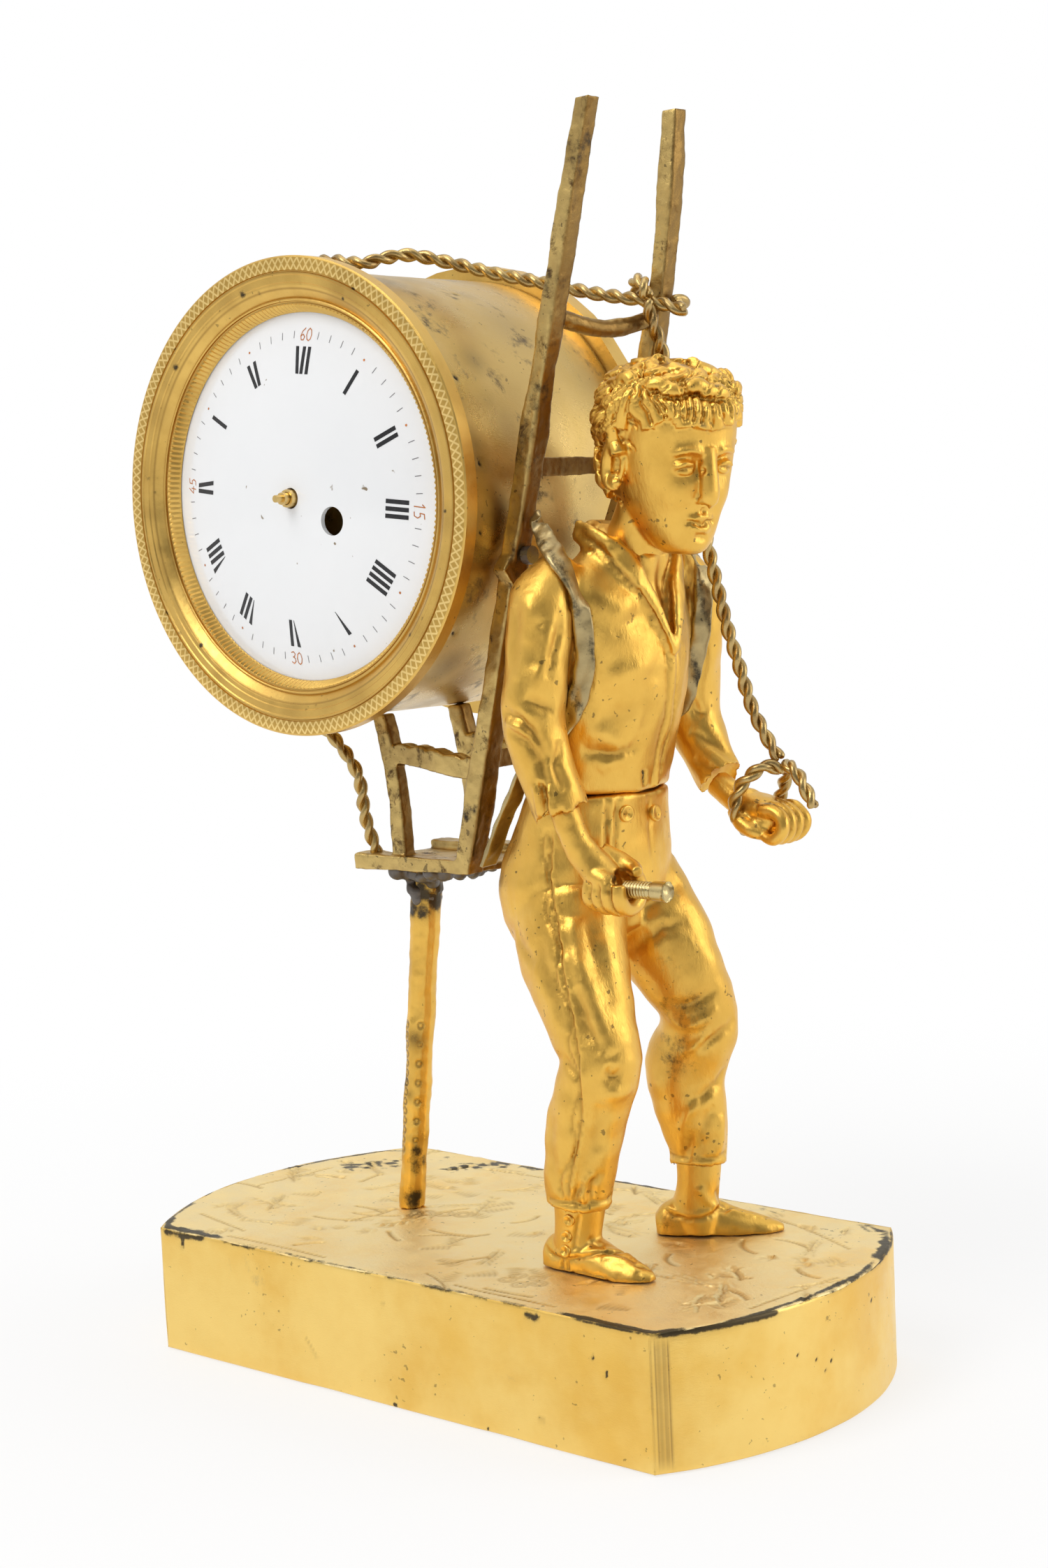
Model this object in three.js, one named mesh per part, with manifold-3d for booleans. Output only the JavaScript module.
// Figural mantel clock: a boy in walking pose carries a drum clock on a pack frame.
// Millimetres, +Z up. +X is the way the boy walks, -Y is the side the dial faces,
// and the origin is the centre of the base's underside.
import * as THREE from 'three';
import { mergeVertices } from 'three/addons/utils/BufferGeometryUtils.js';
import Module from 'manifold-3d';

const wasm = await Module();
wasm.setup();

// Clearances shared by the whole clock
const seatGap = 0.3;
const runningGap = 0.3;
const pivotGap = 0.08;
const overrun = 2;
const roundSteps = 42;

// Base: a hollow plinth of five gilt plates, straight in front and behind, bowed at both ends
const baseHeight = 31.9;
const baseHalfDepth = 48.6;
const baseStraightHalf = 80;
const baseShoulder = 4.9;
const baseShoulderInset = 2.2;
const baseBowRise = 11.5;
const baseWall = 3;
const baseTopThickness = 2.6;
const baseCornerBlock = 9;
const baseBowSteps = 14;

// Figure: its overall height and its place on the base
const figureHeight = 211;
const figureForward = 44;
const studRadius = 2;
const studLength = 9;
const nutRadius = 4;
const nutThickness = 2.4;

// Column that carries the pack frame
const columnRadius = 3.35;
const columnFootX = -36.1;
const columnTopX = -24.4;
const columnTopRadius = 3.9;
const columnSolderRadius = 8.5;
const columnSolderHeight = 3.4;

// Pack frame: shelf, side frames and the rails between them
const shelfTop = 127.6;
const shelfArmThickness = 3.75;
const shelfRearX = -32.8;
const shelfPlateThickness = 1.6;
const frameHalfSpacing = 14;
const frameTopSplay = 1.9;
const uprightTop = 302;
const uprightFootX = 3.4;
const uprightTopX = 51.8;
const uprightBow = -0.7;
const farUprightBow = 6.6;
const uprightBowSkew = 1.6;
const uprightDepthLow = 5.6;
const uprightDepthTop = 4.6;
const uprightWidthLow = 6.6;
const uprightWidthTop = 4.8;
const postDepth = 4.8;
const postWidth = 4.2;
const postFootX = -19;
const braceRise = 22.6;
const braceThickness = 4.8;
const braceFall = 3.1;
const braceScallops = 5;
const scallopDepth = 0.7;
const lugHeight = 197.5;
const lugLength = 5.6;
const lugScrewHeight = 200.6;
const lugRise = 7;
const lugScrewRadius = 2.2;
const lugScrewLength = 2.2;
const crossBarHeight = 254.5;
const crossBarSag = 2.4;
const crossBarRadius = 2.1;
const neckRailHeight = 221;
const neckRailTall = 4.6;
const neckRailThickness = 1.8;
const backRailRise = 24.4;

// Drum case
const drumX = -33.2;
const drumZ = 216.8;
const drumFront = -33;
const drumLength = 72;
const drumBodyRadius = 54.7;
const drumWall = 1.5;
const bezelRadius = 58.1;
const bezelBand = 4.2;
const bezelFlatWidth = 6.6;
const bezelDish = 5.5;
const dialVisibleRadius = 44.8;
const dialSeatWidth = 2.4;
const dialThickness = 1.2;
const dialDome = 4.9;
const dialCentreHole = 2.55;
const dialWindHole = 3.5;
const windOffsetX = 13.3;
const windOffsetZ = -6.05;
const rearRingWidth = 5;
const doorRadius = 50;
const rearRingBorder = 8.5;
const doorThickness = 1.8;
const doorRecess = 1.2;
const doorKnobRadius = 2.4;
const doorKnobLength = 5;
const hingeRadius = 1.7;
const hingePinRadius = 0.7;
const hingeKnuckle = 6;
const hingeLeaf = 1.2;

// Movement: two round plates, four pillars and the wheels between them
const dialPlateRadius = 47;
const dialPlateThickness = 1.5;
const dialPlateGap = 0.4;
const motionSpace = 6;
const plateRadius = 36;
const plateThickness = 1.8;
const plateSpace = 24;
const pillarRadius = 2;
const pillarCircle = 31;
const pillarCount = 4;
const dialPillarCount = 3;
const dialPillarRadius = 1.7;
const strapWidth = 7;
const strapThickness = 1.4;
const strapScrewRadius = 2;
const arborRadius = 0.95;
const handArborRadius = 0.9;
const handArborProud = 4.6;
const cannonPipeRadius = 1.5;
const cannonProud = 2.6;
const hourPipeInner = 1.58;
const hourPipeRadius = 2.2;
const hourProud = 0.9;
const wheelThickness = 1.4;
const pinionLength = 3;
const windingSquare = 3.4;
const windingSquareSunk = 1.2;
const barrelRadius = 11.4;
const barrelHeight = 9.5;
const ratchetRadius = 6.2;
const ratchetTeeth = 24;
const ratchetThickness = 1.4;
const clickLength = 8;
const escapeRadius = 6;
const escapeTeeth = 15;
const palletRise = 7.4;
const palletSpan = 4.4;
const palletGap = 0.42;
const pendulumLength = 56;
const pendulumRodWidth = 1.6;
const pendulumRodThickness = 0.8;
const bobRadius = 8;
const bobThickness = 4;
const cockReach = 8;

// Tooth counts and modules of the train and of the motion work under the dial
const meshEase = 0.045;
const windReach = Math.hypot(windOffsetX, windOffsetZ);
const mainPair = { wheel: 72, pinion: 12, module: ((windReach - meshEase) * 2) / (72 + 12) };
const centrePair = { wheel: 72, pinion: 8, module: 0.3 };
const thirdPair = { wheel: 64, pinion: 8, module: 0.28 };
const fourthPair = { wheel: 56, pinion: 8, module: 0.26 };
const cannonPair = { wheel: 30, pinion: 10, module: 0.45 };
const hourPair = { wheel: 32, pinion: 8, module: 0.45 };

// Rope: stiff twisted bronze wire
const ropeRadius = 1.7;
const ropeSides = 7;

// Shoulder straps: thin bronze strip
const bandWidth = 5.6;
const bandThickness = 1.2;

const finishes = {
  gilt: { color: 0xd9a63a, roughness: 0.34, metalness: 1 },
  tarnished: { color: 0x9a7a3c, roughness: 0.5, metalness: 1 },
  brass: { color: 0xc9a24e, roughness: 0.4, metalness: 1 },
  rope: { color: 0x7d5f33, roughness: 0.5, metalness: 1 },
  strap: { color: 0x9c8250, roughness: 0.55, metalness: 1 },
  enamel: { color: 0xf3f3ef, roughness: 0.15, metalness: 0 },
  steel: { color: 0x6f7276, roughness: 0.35, metalness: 1 },
};

const clock = new THREE.Group();

function addPiece(name, geometry, finish) {
  const mesh = new THREE.Mesh(geometry, new THREE.MeshStandardMaterial(finishes[finish]));
  mesh.name = name;
  clock.add(mesh);
  return mesh;
}

// Solids for joining and cutting
function toSolid(geometry) {
  const bare = geometry.clone();
  for (const attribute of Object.keys(bare.attributes)) {
    if (attribute !== 'position') bare.deleteAttribute(attribute);
  }
  const merged = mergeVertices(bare, 1e-4);
  return new wasm.Manifold(new wasm.Mesh({
    numProp: 3,
    vertProperties: new Float32Array(merged.attributes.position.array),
    triVerts: new Uint32Array(merged.index.array),
  }));
}

function toGeometry(solid) {
  const mesh = solid.getMesh();
  const geometry = new THREE.BufferGeometry();
  geometry.setAttribute('position', new THREE.BufferAttribute(new Float32Array(mesh.vertProperties), 3));
  geometry.setIndex(new THREE.BufferAttribute(new Uint32Array(mesh.triVerts), 1));
  geometry.computeVertexNormals();
  return geometry;
}

function join(...geometries) {
  return toGeometry(geometries.map(toSolid).reduce((whole, part) => whole.add(part)));
}

function cut(geometry, ...tools) {
  return toGeometry(tools.map(toSolid).reduce((whole, tool) => whole.subtract(tool), toSolid(geometry)));
}

// Keeps the side of a plane that its normal points to
function trim(geometry, normal, point) {
  const direction = normal.clone().normalize();
  return toGeometry(toSolid(geometry).trimByPlane(direction.toArray(), direction.dot(point)));
}

// Basic shapes along the three axes
function box(low, high) {
  const size = new THREE.Vector3().subVectors(high, low);
  const middle = new THREE.Vector3().addVectors(low, high).multiplyScalar(1 / 2);
  return new THREE.BoxGeometry(size.x, size.y, size.z).translate(middle.x, middle.y, middle.z);
}

function rodBetween(start, end, radius, sides, endRadius = radius) {
  const span = new THREE.Vector3().subVectors(end, start);
  const rod = new THREE.CylinderGeometry(endRadius, radius, span.length(), sides);
  const up = new THREE.Vector3(0, 1, 0);
  rod.applyQuaternion(new THREE.Quaternion().setFromUnitVectors(up, span.clone().normalize()));
  const middle = new THREE.Vector3().addVectors(start, end).multiplyScalar(1 / 2);
  return rod.translate(middle.x, middle.y, middle.z);
}

function point(x, y, z) {
  return new THREE.Vector3(x, y, z);
}

// A flat plate drawn in the X-Z plane, from a front to a rear place along Y
function plateAlongY(shape, front, rear) {
  const plate = new THREE.ExtrudeGeometry(shape, { depth: rear - front, bevelEnabled: false, curveSegments: 12 });
  return plate.rotateX(Math.PI / 2).translate(0, rear, 0);
}

// A flat plate drawn in the X-Y plane, from a low to a high place along Z
function plateAlongZ(shape, low, high) {
  const plate = new THREE.ExtrudeGeometry(shape, { depth: high - low, bevelEnabled: false, curveSegments: 12 });
  return plate.translate(0, 0, low);
}

function roundShape(radius, segments, x = 0, z = 0) {
  const corners = [];
  for (let step = 0; step < segments; step += 1) {
    const angle = (step / segments) * Math.PI * 2;
    corners.push(new THREE.Vector2(x + radius * Math.cos(angle), z + radius * Math.sin(angle)));
  }
  return new THREE.Shape(corners);
}

// A revolved profile of [radius, place along Y] corners that closes on itself
function turned(profile, segments) {
  const corners = profile.map(([radius, along]) => new THREE.Vector2(radius, along));
  if (THREE.ShapeUtils.area(corners) < 0) corners.reverse();
  corners.push(corners[0].clone());
  return new THREE.LatheGeometry(corners, segments);
}

// Skin over a row of rings that all have as many points, closed at both ends
function skin(rings) {
  const count = rings[0].length;
  const positions = rings.flat().flatMap((corner) => corner.toArray());
  const faces = [];
  for (let ring = 0; ring < rings.length - 1; ring += 1) {
    for (let step = 0; step < count; step += 1) {
      const a = ring * count + step;
      const b = ring * count + ((step + 1) % count);
      faces.push(a, b, b + count, a, b + count, a + count);
    }
  }
  const ends = [[0, false], [rings.length - 1, true]];
  for (const [ring, top] of ends) {
    const middle = new THREE.Vector3();
    rings[ring].forEach((corner) => middle.add(corner));
    middle.multiplyScalar(1 / count);
    const hub = positions.length / 3;
    positions.push(...middle.toArray());
    for (let step = 0; step < count; step += 1) {
      const a = ring * count + step;
      const b = ring * count + ((step + 1) % count);
      faces.push(...(top ? [hub, a, b] : [hub, b, a]));
    }
  }
  const geometry = new THREE.BufferGeometry();
  geometry.setAttribute('position', new THREE.Float32BufferAttribute(positions, 3));
  geometry.setIndex(faces);
  geometry.computeVertexNormals();
  return geometry;
}

// Rounded ring about a middle, between an ellipse and a rounded box as squareness rises from 0
function ring(middle, forward, side, halfForward, halfSide, sides, squareness = 0) {
  const power = 1 / (1 + squareness);
  const corners = [];
  for (let step = 0; step < sides; step += 1) {
    const angle = ((step + 1 / 2) / sides) * Math.PI * 2;
    const along = Math.sign(Math.cos(angle)) * Math.abs(Math.cos(angle)) ** power;
    const across = Math.sign(Math.sin(angle)) * Math.abs(Math.sin(angle)) ** power;
    corners.push(middle.clone()
      .addScaledVector(forward, along * halfForward)
      .addScaledVector(side, across * halfSide));
  }
  return corners;
}

// Limb through sections of [x, y, z, half depth, half width], each ring square to the limb
function limb(sections, sides, sideways, squareness = 0) {
  const places = sections.map(([x, y, z]) => point(x, y, z));
  const rings = sections.map((section, index) => {
    const before = places[Math.max(index - 1, 0)];
    const after = places[Math.min(index + 1, places.length - 1)];
    const along = new THREE.Vector3().subVectors(after, before).normalize();
    const forward = new THREE.Vector3().crossVectors(sideways, along).normalize();
    const side = new THREE.Vector3().crossVectors(along, forward).normalize();
    return ring(places[index], forward, side, section[3], section[4], sides, squareness);
  });
  return skin(rings);
}

// Base
function baseOutline(inset) {
  const outline = new THREE.Shape();
  const front = -(baseHalfDepth - inset);
  const straight = baseStraightHalf;
  const shoulderX = baseStraightHalf + baseShoulder - inset;
  const shoulderY = baseHalfDepth - baseShoulderInset - inset;
  const chord = shoulderY;
  const rise = baseBowRise;
  const bowRadius = (chord * chord + rise * rise) / (2 * rise);
  const bowCentre = shoulderX + rise - bowRadius;
  const bowAngle = Math.asin(chord / bowRadius);
  const corners = [];
  for (const end of [1, -1]) {
    corners.push(new THREE.Vector2(end * straight, end * front));
    for (let step = 0; step <= baseBowSteps; step += 1) {
      const angle = -bowAngle + (2 * bowAngle * step) / baseBowSteps;
      const x = bowCentre + bowRadius * Math.cos(angle);
      const y = bowRadius * Math.sin(angle);
      corners.push(new THREE.Vector2(end * x, end * y));
    }
    corners.push(new THREE.Vector2(end * straight, -end * front));
  }
  outline.setFromPoints(corners);
  return outline;
}

function buildBase() {
  const plateInset = baseWall + seatGap;
  const topLow = baseHeight - baseTopThickness;
  const topPlate = plateAlongZ(baseOutline(plateInset), topLow, baseHeight);
  const holes = fixingPlaces().map(([x, y]) => rodBetween(
    point(x, y, topLow - overrun), point(x, y, baseHeight + overrun), studRadius + seatGap, 16));
  addPiece('base_top_plate', cut(topPlate, ...holes), 'gilt');

  for (const [name, side] of [['base_front_plate', -1], ['base_rear_plate', 1]]) {
    const outer = side * baseHalfDepth;
    const inner = side * (baseHalfDepth - baseWall);
    addPiece(name, box(
      point(-baseStraightHalf, Math.min(outer, inner), 0),
      point(baseStraightHalf, Math.max(outer, inner), baseHeight)), 'gilt');
  }

  const wall = cut(
    plateAlongZ(baseOutline(0), 0, baseHeight),
    plateAlongZ(baseOutline(baseWall), -overrun, baseHeight + overrun));
  for (const [name, end] of [['base_end_plate_left', -1], ['base_end_plate_right', 1]]) {
    const outward = point(end, 0, 0);
    addPiece(name, trim(wall, outward, point(end * (baseStraightHalf + seatGap), 0, 0)), 'gilt');
  }

  const blockGap = baseWall + seatGap;
  let block = 1;
  for (const end of [-1, 1]) {
    for (const side of [-1, 1]) {
      const nearX = end * (baseStraightHalf - baseCornerBlock);
      const farX = end * (baseStraightHalf - seatGap);
      const nearY = side * (baseHalfDepth - blockGap);
      const farY = side * (baseHalfDepth - blockGap - baseCornerBlock);
      addPiece(`base_corner_block_${block}`, box(
        point(Math.min(nearX, farX), Math.min(nearY, farY), seatGap),
        point(Math.max(nearX, farX), Math.max(nearY, farY), topLow - seatGap)), 'brass');
      block += 1;
    }
  }
}

// Where the studs of the column and of both shoes pass through the base's top plate
const figureSpot = {
  rightFoot: [-0.012, -0.090],
  leftFoot: [0.008, 0.093],
};

function figurePlace(xShare, yShare, zShare) {
  return [figureForward + xShare * figureHeight, yShare * figureHeight, baseHeight + zShare * figureHeight];
}

function fixingPlaces() {
  const feet = [figureSpot.rightFoot, figureSpot.leftFoot];
  return [[columnFootX, 0], ...feet.map(([x, y]) => figurePlace(x, y, 0).slice(0, 2))];
}

function buildFixings() {
  const names = ['column_nut', 'right_shoe_nut', 'left_shoe_nut'];
  const high = baseHeight - baseTopThickness - seatGap;
  fixingPlaces().forEach(([x, y], index) => {
    const nut = rodBetween(point(x, y, high - nutThickness), point(x, y, high), nutRadius, 6);
    const hole = rodBetween(
      point(x, y, high - nutThickness - overrun), point(x, y, high + overrun), studRadius + seatGap, 16);
    addPiece(names[index], cut(nut, hole), 'steel');
  });
}

function fixingStud(x, y, top) {
  return rodBetween(point(x, y, baseHeight - studLength), point(x, y, top), studRadius, 16);
}

// Column with the solder that holds it under the shelf
function buildColumn() {
  const under = shelfTop - shelfArmThickness - seatGap;
  const foot = point(columnFootX, 0, baseHeight + seatGap);
  const neck = point(columnTopX, 0, under - columnSolderHeight);
  const belowFoot = foot.clone().addScaledVector(neck.clone().sub(foot).normalize(), -overrun);
  const shaft = trim(rodBetween(belowFoot, neck, columnRadius, 12, columnTopRadius), point(0, 0, 1), foot);
  const solder = rodBetween(neck, point(columnTopX, 0, under), columnTopRadius, 12, columnSolderRadius);
  const collar = rodBetween(
    point(columnTopX, 0, under - columnSolderHeight - columnTopRadius),
    point(columnTopX, 0, under - columnSolderHeight / 2), columnTopRadius, 12);
  const stud = fixingStud(columnFootX, 0, baseHeight + columnRadius);
  addPiece('support_column', join(shaft, solder, collar, stud), 'gilt');
}

// Pack frame
function uprightLine(height, bow) {
  const share = (height - shelfTop) / (uprightTop - shelfTop);
  const reach = Math.max(share, 0) ** uprightBowSkew;
  return uprightFootX + (uprightTopX - uprightFootX) * share + bow * Math.sin(Math.PI * reach);
}

function uprightSide(height) {
  const share = (height - shelfTop) / (uprightTop - shelfTop);
  return frameHalfSpacing + frameTopSplay * share;
}

function uprightSize(height) {
  const share = (height - shelfTop) / (uprightTop - shelfTop);
  return {
    depth: uprightDepthLow + (uprightDepthTop - uprightDepthLow) * share,
    width: uprightWidthLow + (uprightWidthTop - uprightWidthLow) * share,
  };
}

const uprightSteps = 8;
const frameSquareness = 3;

function barRing(x, y, z, depth, width) {
  const forward = point(1, 0, 0);
  const side = point(0, 1, 0);
  return ring(point(x, y, z), forward, side, depth / 2, width / 2, 8, frameSquareness);
}

function sideFrame(side, bow) {
  const armLow = shelfTop - shelfArmThickness;
  const rings = [];
  for (let step = 0; step <= uprightSteps; step += 1) {
    const height = armLow + ((uprightTop - armLow) * step) / uprightSteps;
    const size = uprightSize(height);
    rings.push(barRing(uprightLine(height, bow), side * uprightSide(height), height, size.depth, size.width));
  }
  const upright = skin(rings);

  const armInner = frameHalfSpacing - uprightWidthLow / 2;
  const armOuter = frameHalfSpacing + uprightWidthLow / 2;
  const arm = box(
    point(shelfRearX, Math.min(side * armInner, side * armOuter), armLow),
    point(uprightFootX, Math.max(side * armInner, side * armOuter), shelfTop));

  // The short post curves back under the drum and ends on the drum's own outline
  const postRings = [];
  const postTop = drumUnderside(postFootX - postDepth) - seatGap;
  const postSteps = 5;
  for (let step = 0; step <= postSteps; step += 1) {
    const share = step / postSteps;
    const height = armLow + (postTop - armLow) * share;
    const lean = -postDepth * share ** 3;
    postRings.push(barRing(postFootX + lean, side * frameHalfSpacing, height, postDepth, postWidth));
  }
  const drumHull = rodBetween(
    point(drumX, -baseHalfDepth, drumZ), point(drumX, baseHalfDepth, drumZ), drumBodyRadius + seatGap, 96);
  const post = cut(skin(postRings), drumHull);

  // Arched brace with a scalloped upper edge, from the post to the upright
  const braceHeight = shelfTop + braceRise;
  const braceStart = postFootX;
  const braceEnd = uprightLine(braceHeight, bow);
  const arch = [];
  const under = [];
  const braceSteps = braceScallops * 4;
  for (let step = 0; step <= braceSteps; step += 1) {
    const share = step / braceSteps;
    const x = braceStart + (braceEnd - braceStart) * share;
    const fall = (braceFall * (1 - Math.cos(share * Math.PI))) / 2;
    const scallop = scallopDepth * Math.abs(Math.sin(share * Math.PI * braceScallops));
    arch.push(new THREE.Vector2(x, braceHeight + braceThickness - fall + scallop));
    if (step % 4 === 0) under.unshift(new THREE.Vector2(x, braceHeight - fall));
  }
  const braceHalf = postWidth / 2;
  const brace = plateAlongY(
    new THREE.Shape([...arch, ...under]),
    side * frameHalfSpacing - braceHalf, side * frameHalfSpacing + braceHalf);

  // Pointed lug on the upright's outer side, level with the screw of the shoulder strap
  const lug = plateAlongY(new THREE.Shape([
    new THREE.Vector2(0, -lugRise),
    new THREE.Vector2(lugLength, 0),
    new THREE.Vector2(0, lugRise),
  ]), -braceHalf, braceHalf)
    .rotateZ((side * Math.PI) / 2)
    .translate(uprightLine(lugHeight, bow), side * uprightSide(lugHeight), lugHeight);

  return join(upright, arm, post, brace, lug);
}

function drumUnderside(x) {
  return drumZ - Math.sqrt(drumBodyRadius ** 2 - (x - drumX) ** 2);
}

function buildFrame() {
  addPiece('near_side_frame', sideFrame(-1, uprightBow), 'tarnished');
  addPiece('far_side_frame', sideFrame(1, farUprightBow), 'tarnished');

  const shelfHalf = frameHalfSpacing - uprightWidthLow / 2 - seatGap;
  const shelfLow = shelfTop - shelfArmThickness;
  addPiece('shelf_plate', box(
    point(shelfRearX, -shelfHalf, shelfLow),
    point(uprightFootX, shelfHalf, shelfLow + shelfPlateThickness)), 'tarnished');

  const backRailHeight = shelfTop + backRailRise;
  const backX = uprightLine(backRailHeight, uprightBow);
  const backHalf = uprightSide(backRailHeight) - uprightSize(backRailHeight).width / 2 - seatGap;
  addPiece('back_rail', box(
    point(backX - neckRailThickness / 2, -backHalf, backRailHeight - neckRailTall / 2),
    point(backX + neckRailThickness / 2, backHalf, backRailHeight + neckRailTall / 2)), 'tarnished');

  const neckX = uprightLine(neckRailHeight, uprightBow);
  const neckHalf = uprightSide(neckRailHeight) - uprightSize(neckRailHeight).width / 2 - seatGap;
  addPiece('neck_rail', box(
    point(neckX - neckRailThickness / 2, -neckHalf, neckRailHeight - neckRailTall / 2),
    point(neckX + neckRailThickness / 2, neckHalf, neckRailHeight + neckRailTall / 2)), 'tarnished');

  // The upper bar sags between the uprights and springs from their front faces
  const barSteps = 10;
  const barRings = [];
  const barHalf = uprightSide(crossBarHeight) - uprightSize(crossBarHeight).width / 2 - seatGap;
  for (let step = 0; step <= barSteps; step += 1) {
    const share = step / barSteps;
    const sag = crossBarSag * Math.sin(Math.PI * share);
    const near = uprightLine(crossBarHeight, uprightBow);
    const far = uprightLine(crossBarHeight, farUprightBow);
    barRings.push(ring(
      point(near + (far - near) * share, -barHalf + 2 * barHalf * share, crossBarHeight - sag),
      point(0, 0, 1), point(1, 0, 0), crossBarRadius, crossBarRadius, 8));
  }
  addPiece('upper_cross_bar', skin(barRings), 'tarnished');

  addPiece('strap_screw', strapScrew(-1, uprightBow), 'steel');
}

// Screw head that clamps the end of a shoulder strap to the front of the upright
function strapScrew(side, bow) {
  const x = uprightLine(lugScrewHeight, bow) + uprightSize(lugScrewHeight).depth / 2 + seatGap * 2;
  const y = side * uprightSide(lugScrewHeight);
  return rodBetween(
    point(x, y, lugScrewHeight), point(x + lugScrewLength, y, lugScrewHeight), lugScrewRadius, 12);
}

// Drum case, everything revolved about the drum's own axis and then put in its place
function inDrum(geometry) {
  return geometry.translate(drumX, 0, drumZ);
}

const drumRear = drumFront + drumLength;
const bezelBack = drumFront + bezelBand;
const ringFront = drumRear - rearRingWidth;
const dialFace = drumFront + bezelDish;
const dialPlateFront = dialFace + dialThickness + dialPlateGap;
const dialPlateBack = dialPlateFront + dialPlateThickness;
const frontPlateFront = dialPlateBack + motionSpace;
const frontPlateBack = frontPlateFront + plateThickness;
const backPlateFront = frontPlateBack + plateSpace;
const backPlateBack = backPlateFront + plateThickness;

function buildCase() {
  const bodyInner = drumBodyRadius - drumWall;
  const body = turned([
    [bodyInner, bezelBack + seatGap],
    [bodyInner, ringFront - seatGap],
    [drumBodyRadius, ringFront - seatGap],
    [drumBodyRadius, bezelBack + seatGap],
  ], roundSteps);
  addPiece('case_body', inDrum(body), 'brass');

  const flat = bezelRadius - bezelFlatWidth;
  const band = flat - dialVisibleRadius;
  const bezel = turned([
    [bezelRadius, bezelBack],
    [bezelRadius, drumFront],
    [flat, drumFront],
    [flat - band / 8, drumFront + bezelDish / 4],
    [flat - band / 2, drumFront + bezelDish / 2],
    [dialVisibleRadius + band / 4, drumFront + bezelDish / 2],
    [dialVisibleRadius, dialFace - seatGap],
    [dialVisibleRadius + dialSeatWidth, dialFace - seatGap],
    [dialVisibleRadius + dialSeatWidth, bezelBack],
  ], roundSteps);
  addPiece('front_bezel', inDrum(bezel), 'gilt');

  const doorSeat = doorRadius + seatGap;
  const rearRingRadius = doorRadius + rearRingBorder;
  const rear = turned([
    [rearRingRadius, ringFront],
    [rearRingRadius, drumRear],
    [doorSeat, drumRear],
    [doorSeat, drumRear - doorRecess - doorThickness - seatGap],
    [doorSeat - dialSeatWidth, drumRear - doorRecess - doorThickness - seatGap],
    [doorSeat - dialSeatWidth, ringFront],
  ], roundSteps);
  const hingeLugs = [-1, 1].map((side) => rearHingeLug(side));
  const pinHole = hingePinShape(hingeBoreRadius, overrun);
  addPiece('rear_ring', inDrum(cut(join(rear, ...hingeLugs), pinHole)), 'gilt');
}

// The rear door hangs on the side of the ring, on a pin that stands upright
const hingeX = -(doorRadius + seatGap + hingeRadius * 2);
const hingeY = drumRear + hingeRadius;
const hingeBoreRadius = (hingePinRadius + pivotGap) / Math.cos(Math.PI / 12);

function hingeBarrel(low, high, innerX, leafFront) {
  const barrel = rodBetween(point(hingeX, hingeY, low), point(hingeX, hingeY, high), hingeRadius, 16);
  const leaf = box(
    point(Math.min(hingeX, innerX), leafFront, low),
    point(Math.max(hingeX, innerX), leafFront + hingeLeaf, high));
  return join(barrel, leaf);
}

function rearHingeLug(side) {
  const low = side * (hingeKnuckle / 2 + runningGap);
  const high = side * (hingeKnuckle * (3 / 2) + runningGap);
  return hingeBarrel(
    Math.min(low, high), Math.max(low, high), hingeX - hingeRadius, drumRear - hingeLeaf / 2);
}

function hingePinShape(radius, extra) {
  const half = hingeKnuckle * (3 / 2) + runningGap + extra;
  return rodBetween(point(hingeX, hingeY, -half), point(hingeX, hingeY, half), radius, 12);
}

function buildRearDoor() {
  const doorFront = drumRear - doorRecess - doorThickness;
  const disc = plateAlongY(roundShape(doorRadius, roundSteps), doorFront, doorFront + doorThickness);
  const rim = turned([
    [doorRadius - dialSeatWidth, doorFront + doorThickness / 2],
    [doorRadius, doorFront + doorThickness / 2],
    [doorRadius, drumRear - seatGap],
    [doorRadius - dialSeatWidth, drumRear - seatGap],
  ], roundSteps);
  const leaf = box(
    point(hingeX, drumRear + seatGap, -hingeKnuckle / 2),
    point(hingeX + hingeRadius + dialSeatWidth * 2, drumRear + seatGap + hingeLeaf, hingeKnuckle / 2));
  const foot = box(
    point(-doorRadius + seatGap, drumRear - doorRecess, -hingeKnuckle / 2),
    point(-doorRadius + dialSeatWidth, drumRear + seatGap + hingeLeaf, hingeKnuckle / 2));
  const barrel = rodBetween(
    point(hingeX, hingeY, -hingeKnuckle / 2), point(hingeX, hingeY, hingeKnuckle / 2), hingeRadius, 16);
  const knobX = doorRadius - doorKnobRadius * 3;
  const knob = rodBetween(
    point(knobX, drumRear - doorRecess - doorThickness / 2, 0),
    point(knobX, drumRear - doorRecess + doorKnobLength, 0), doorKnobRadius / 2, 12, doorKnobRadius);
  const pinHole = hingePinShape(hingeBoreRadius, overrun);
  addPiece('rear_door', inDrum(cut(join(disc, rim, leaf, foot, barrel, knob), pinHole)), 'brass');
  addPiece('door_hinge_pin', inDrum(hingePinShape(hingePinRadius, 0)), 'steel');
}

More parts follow.
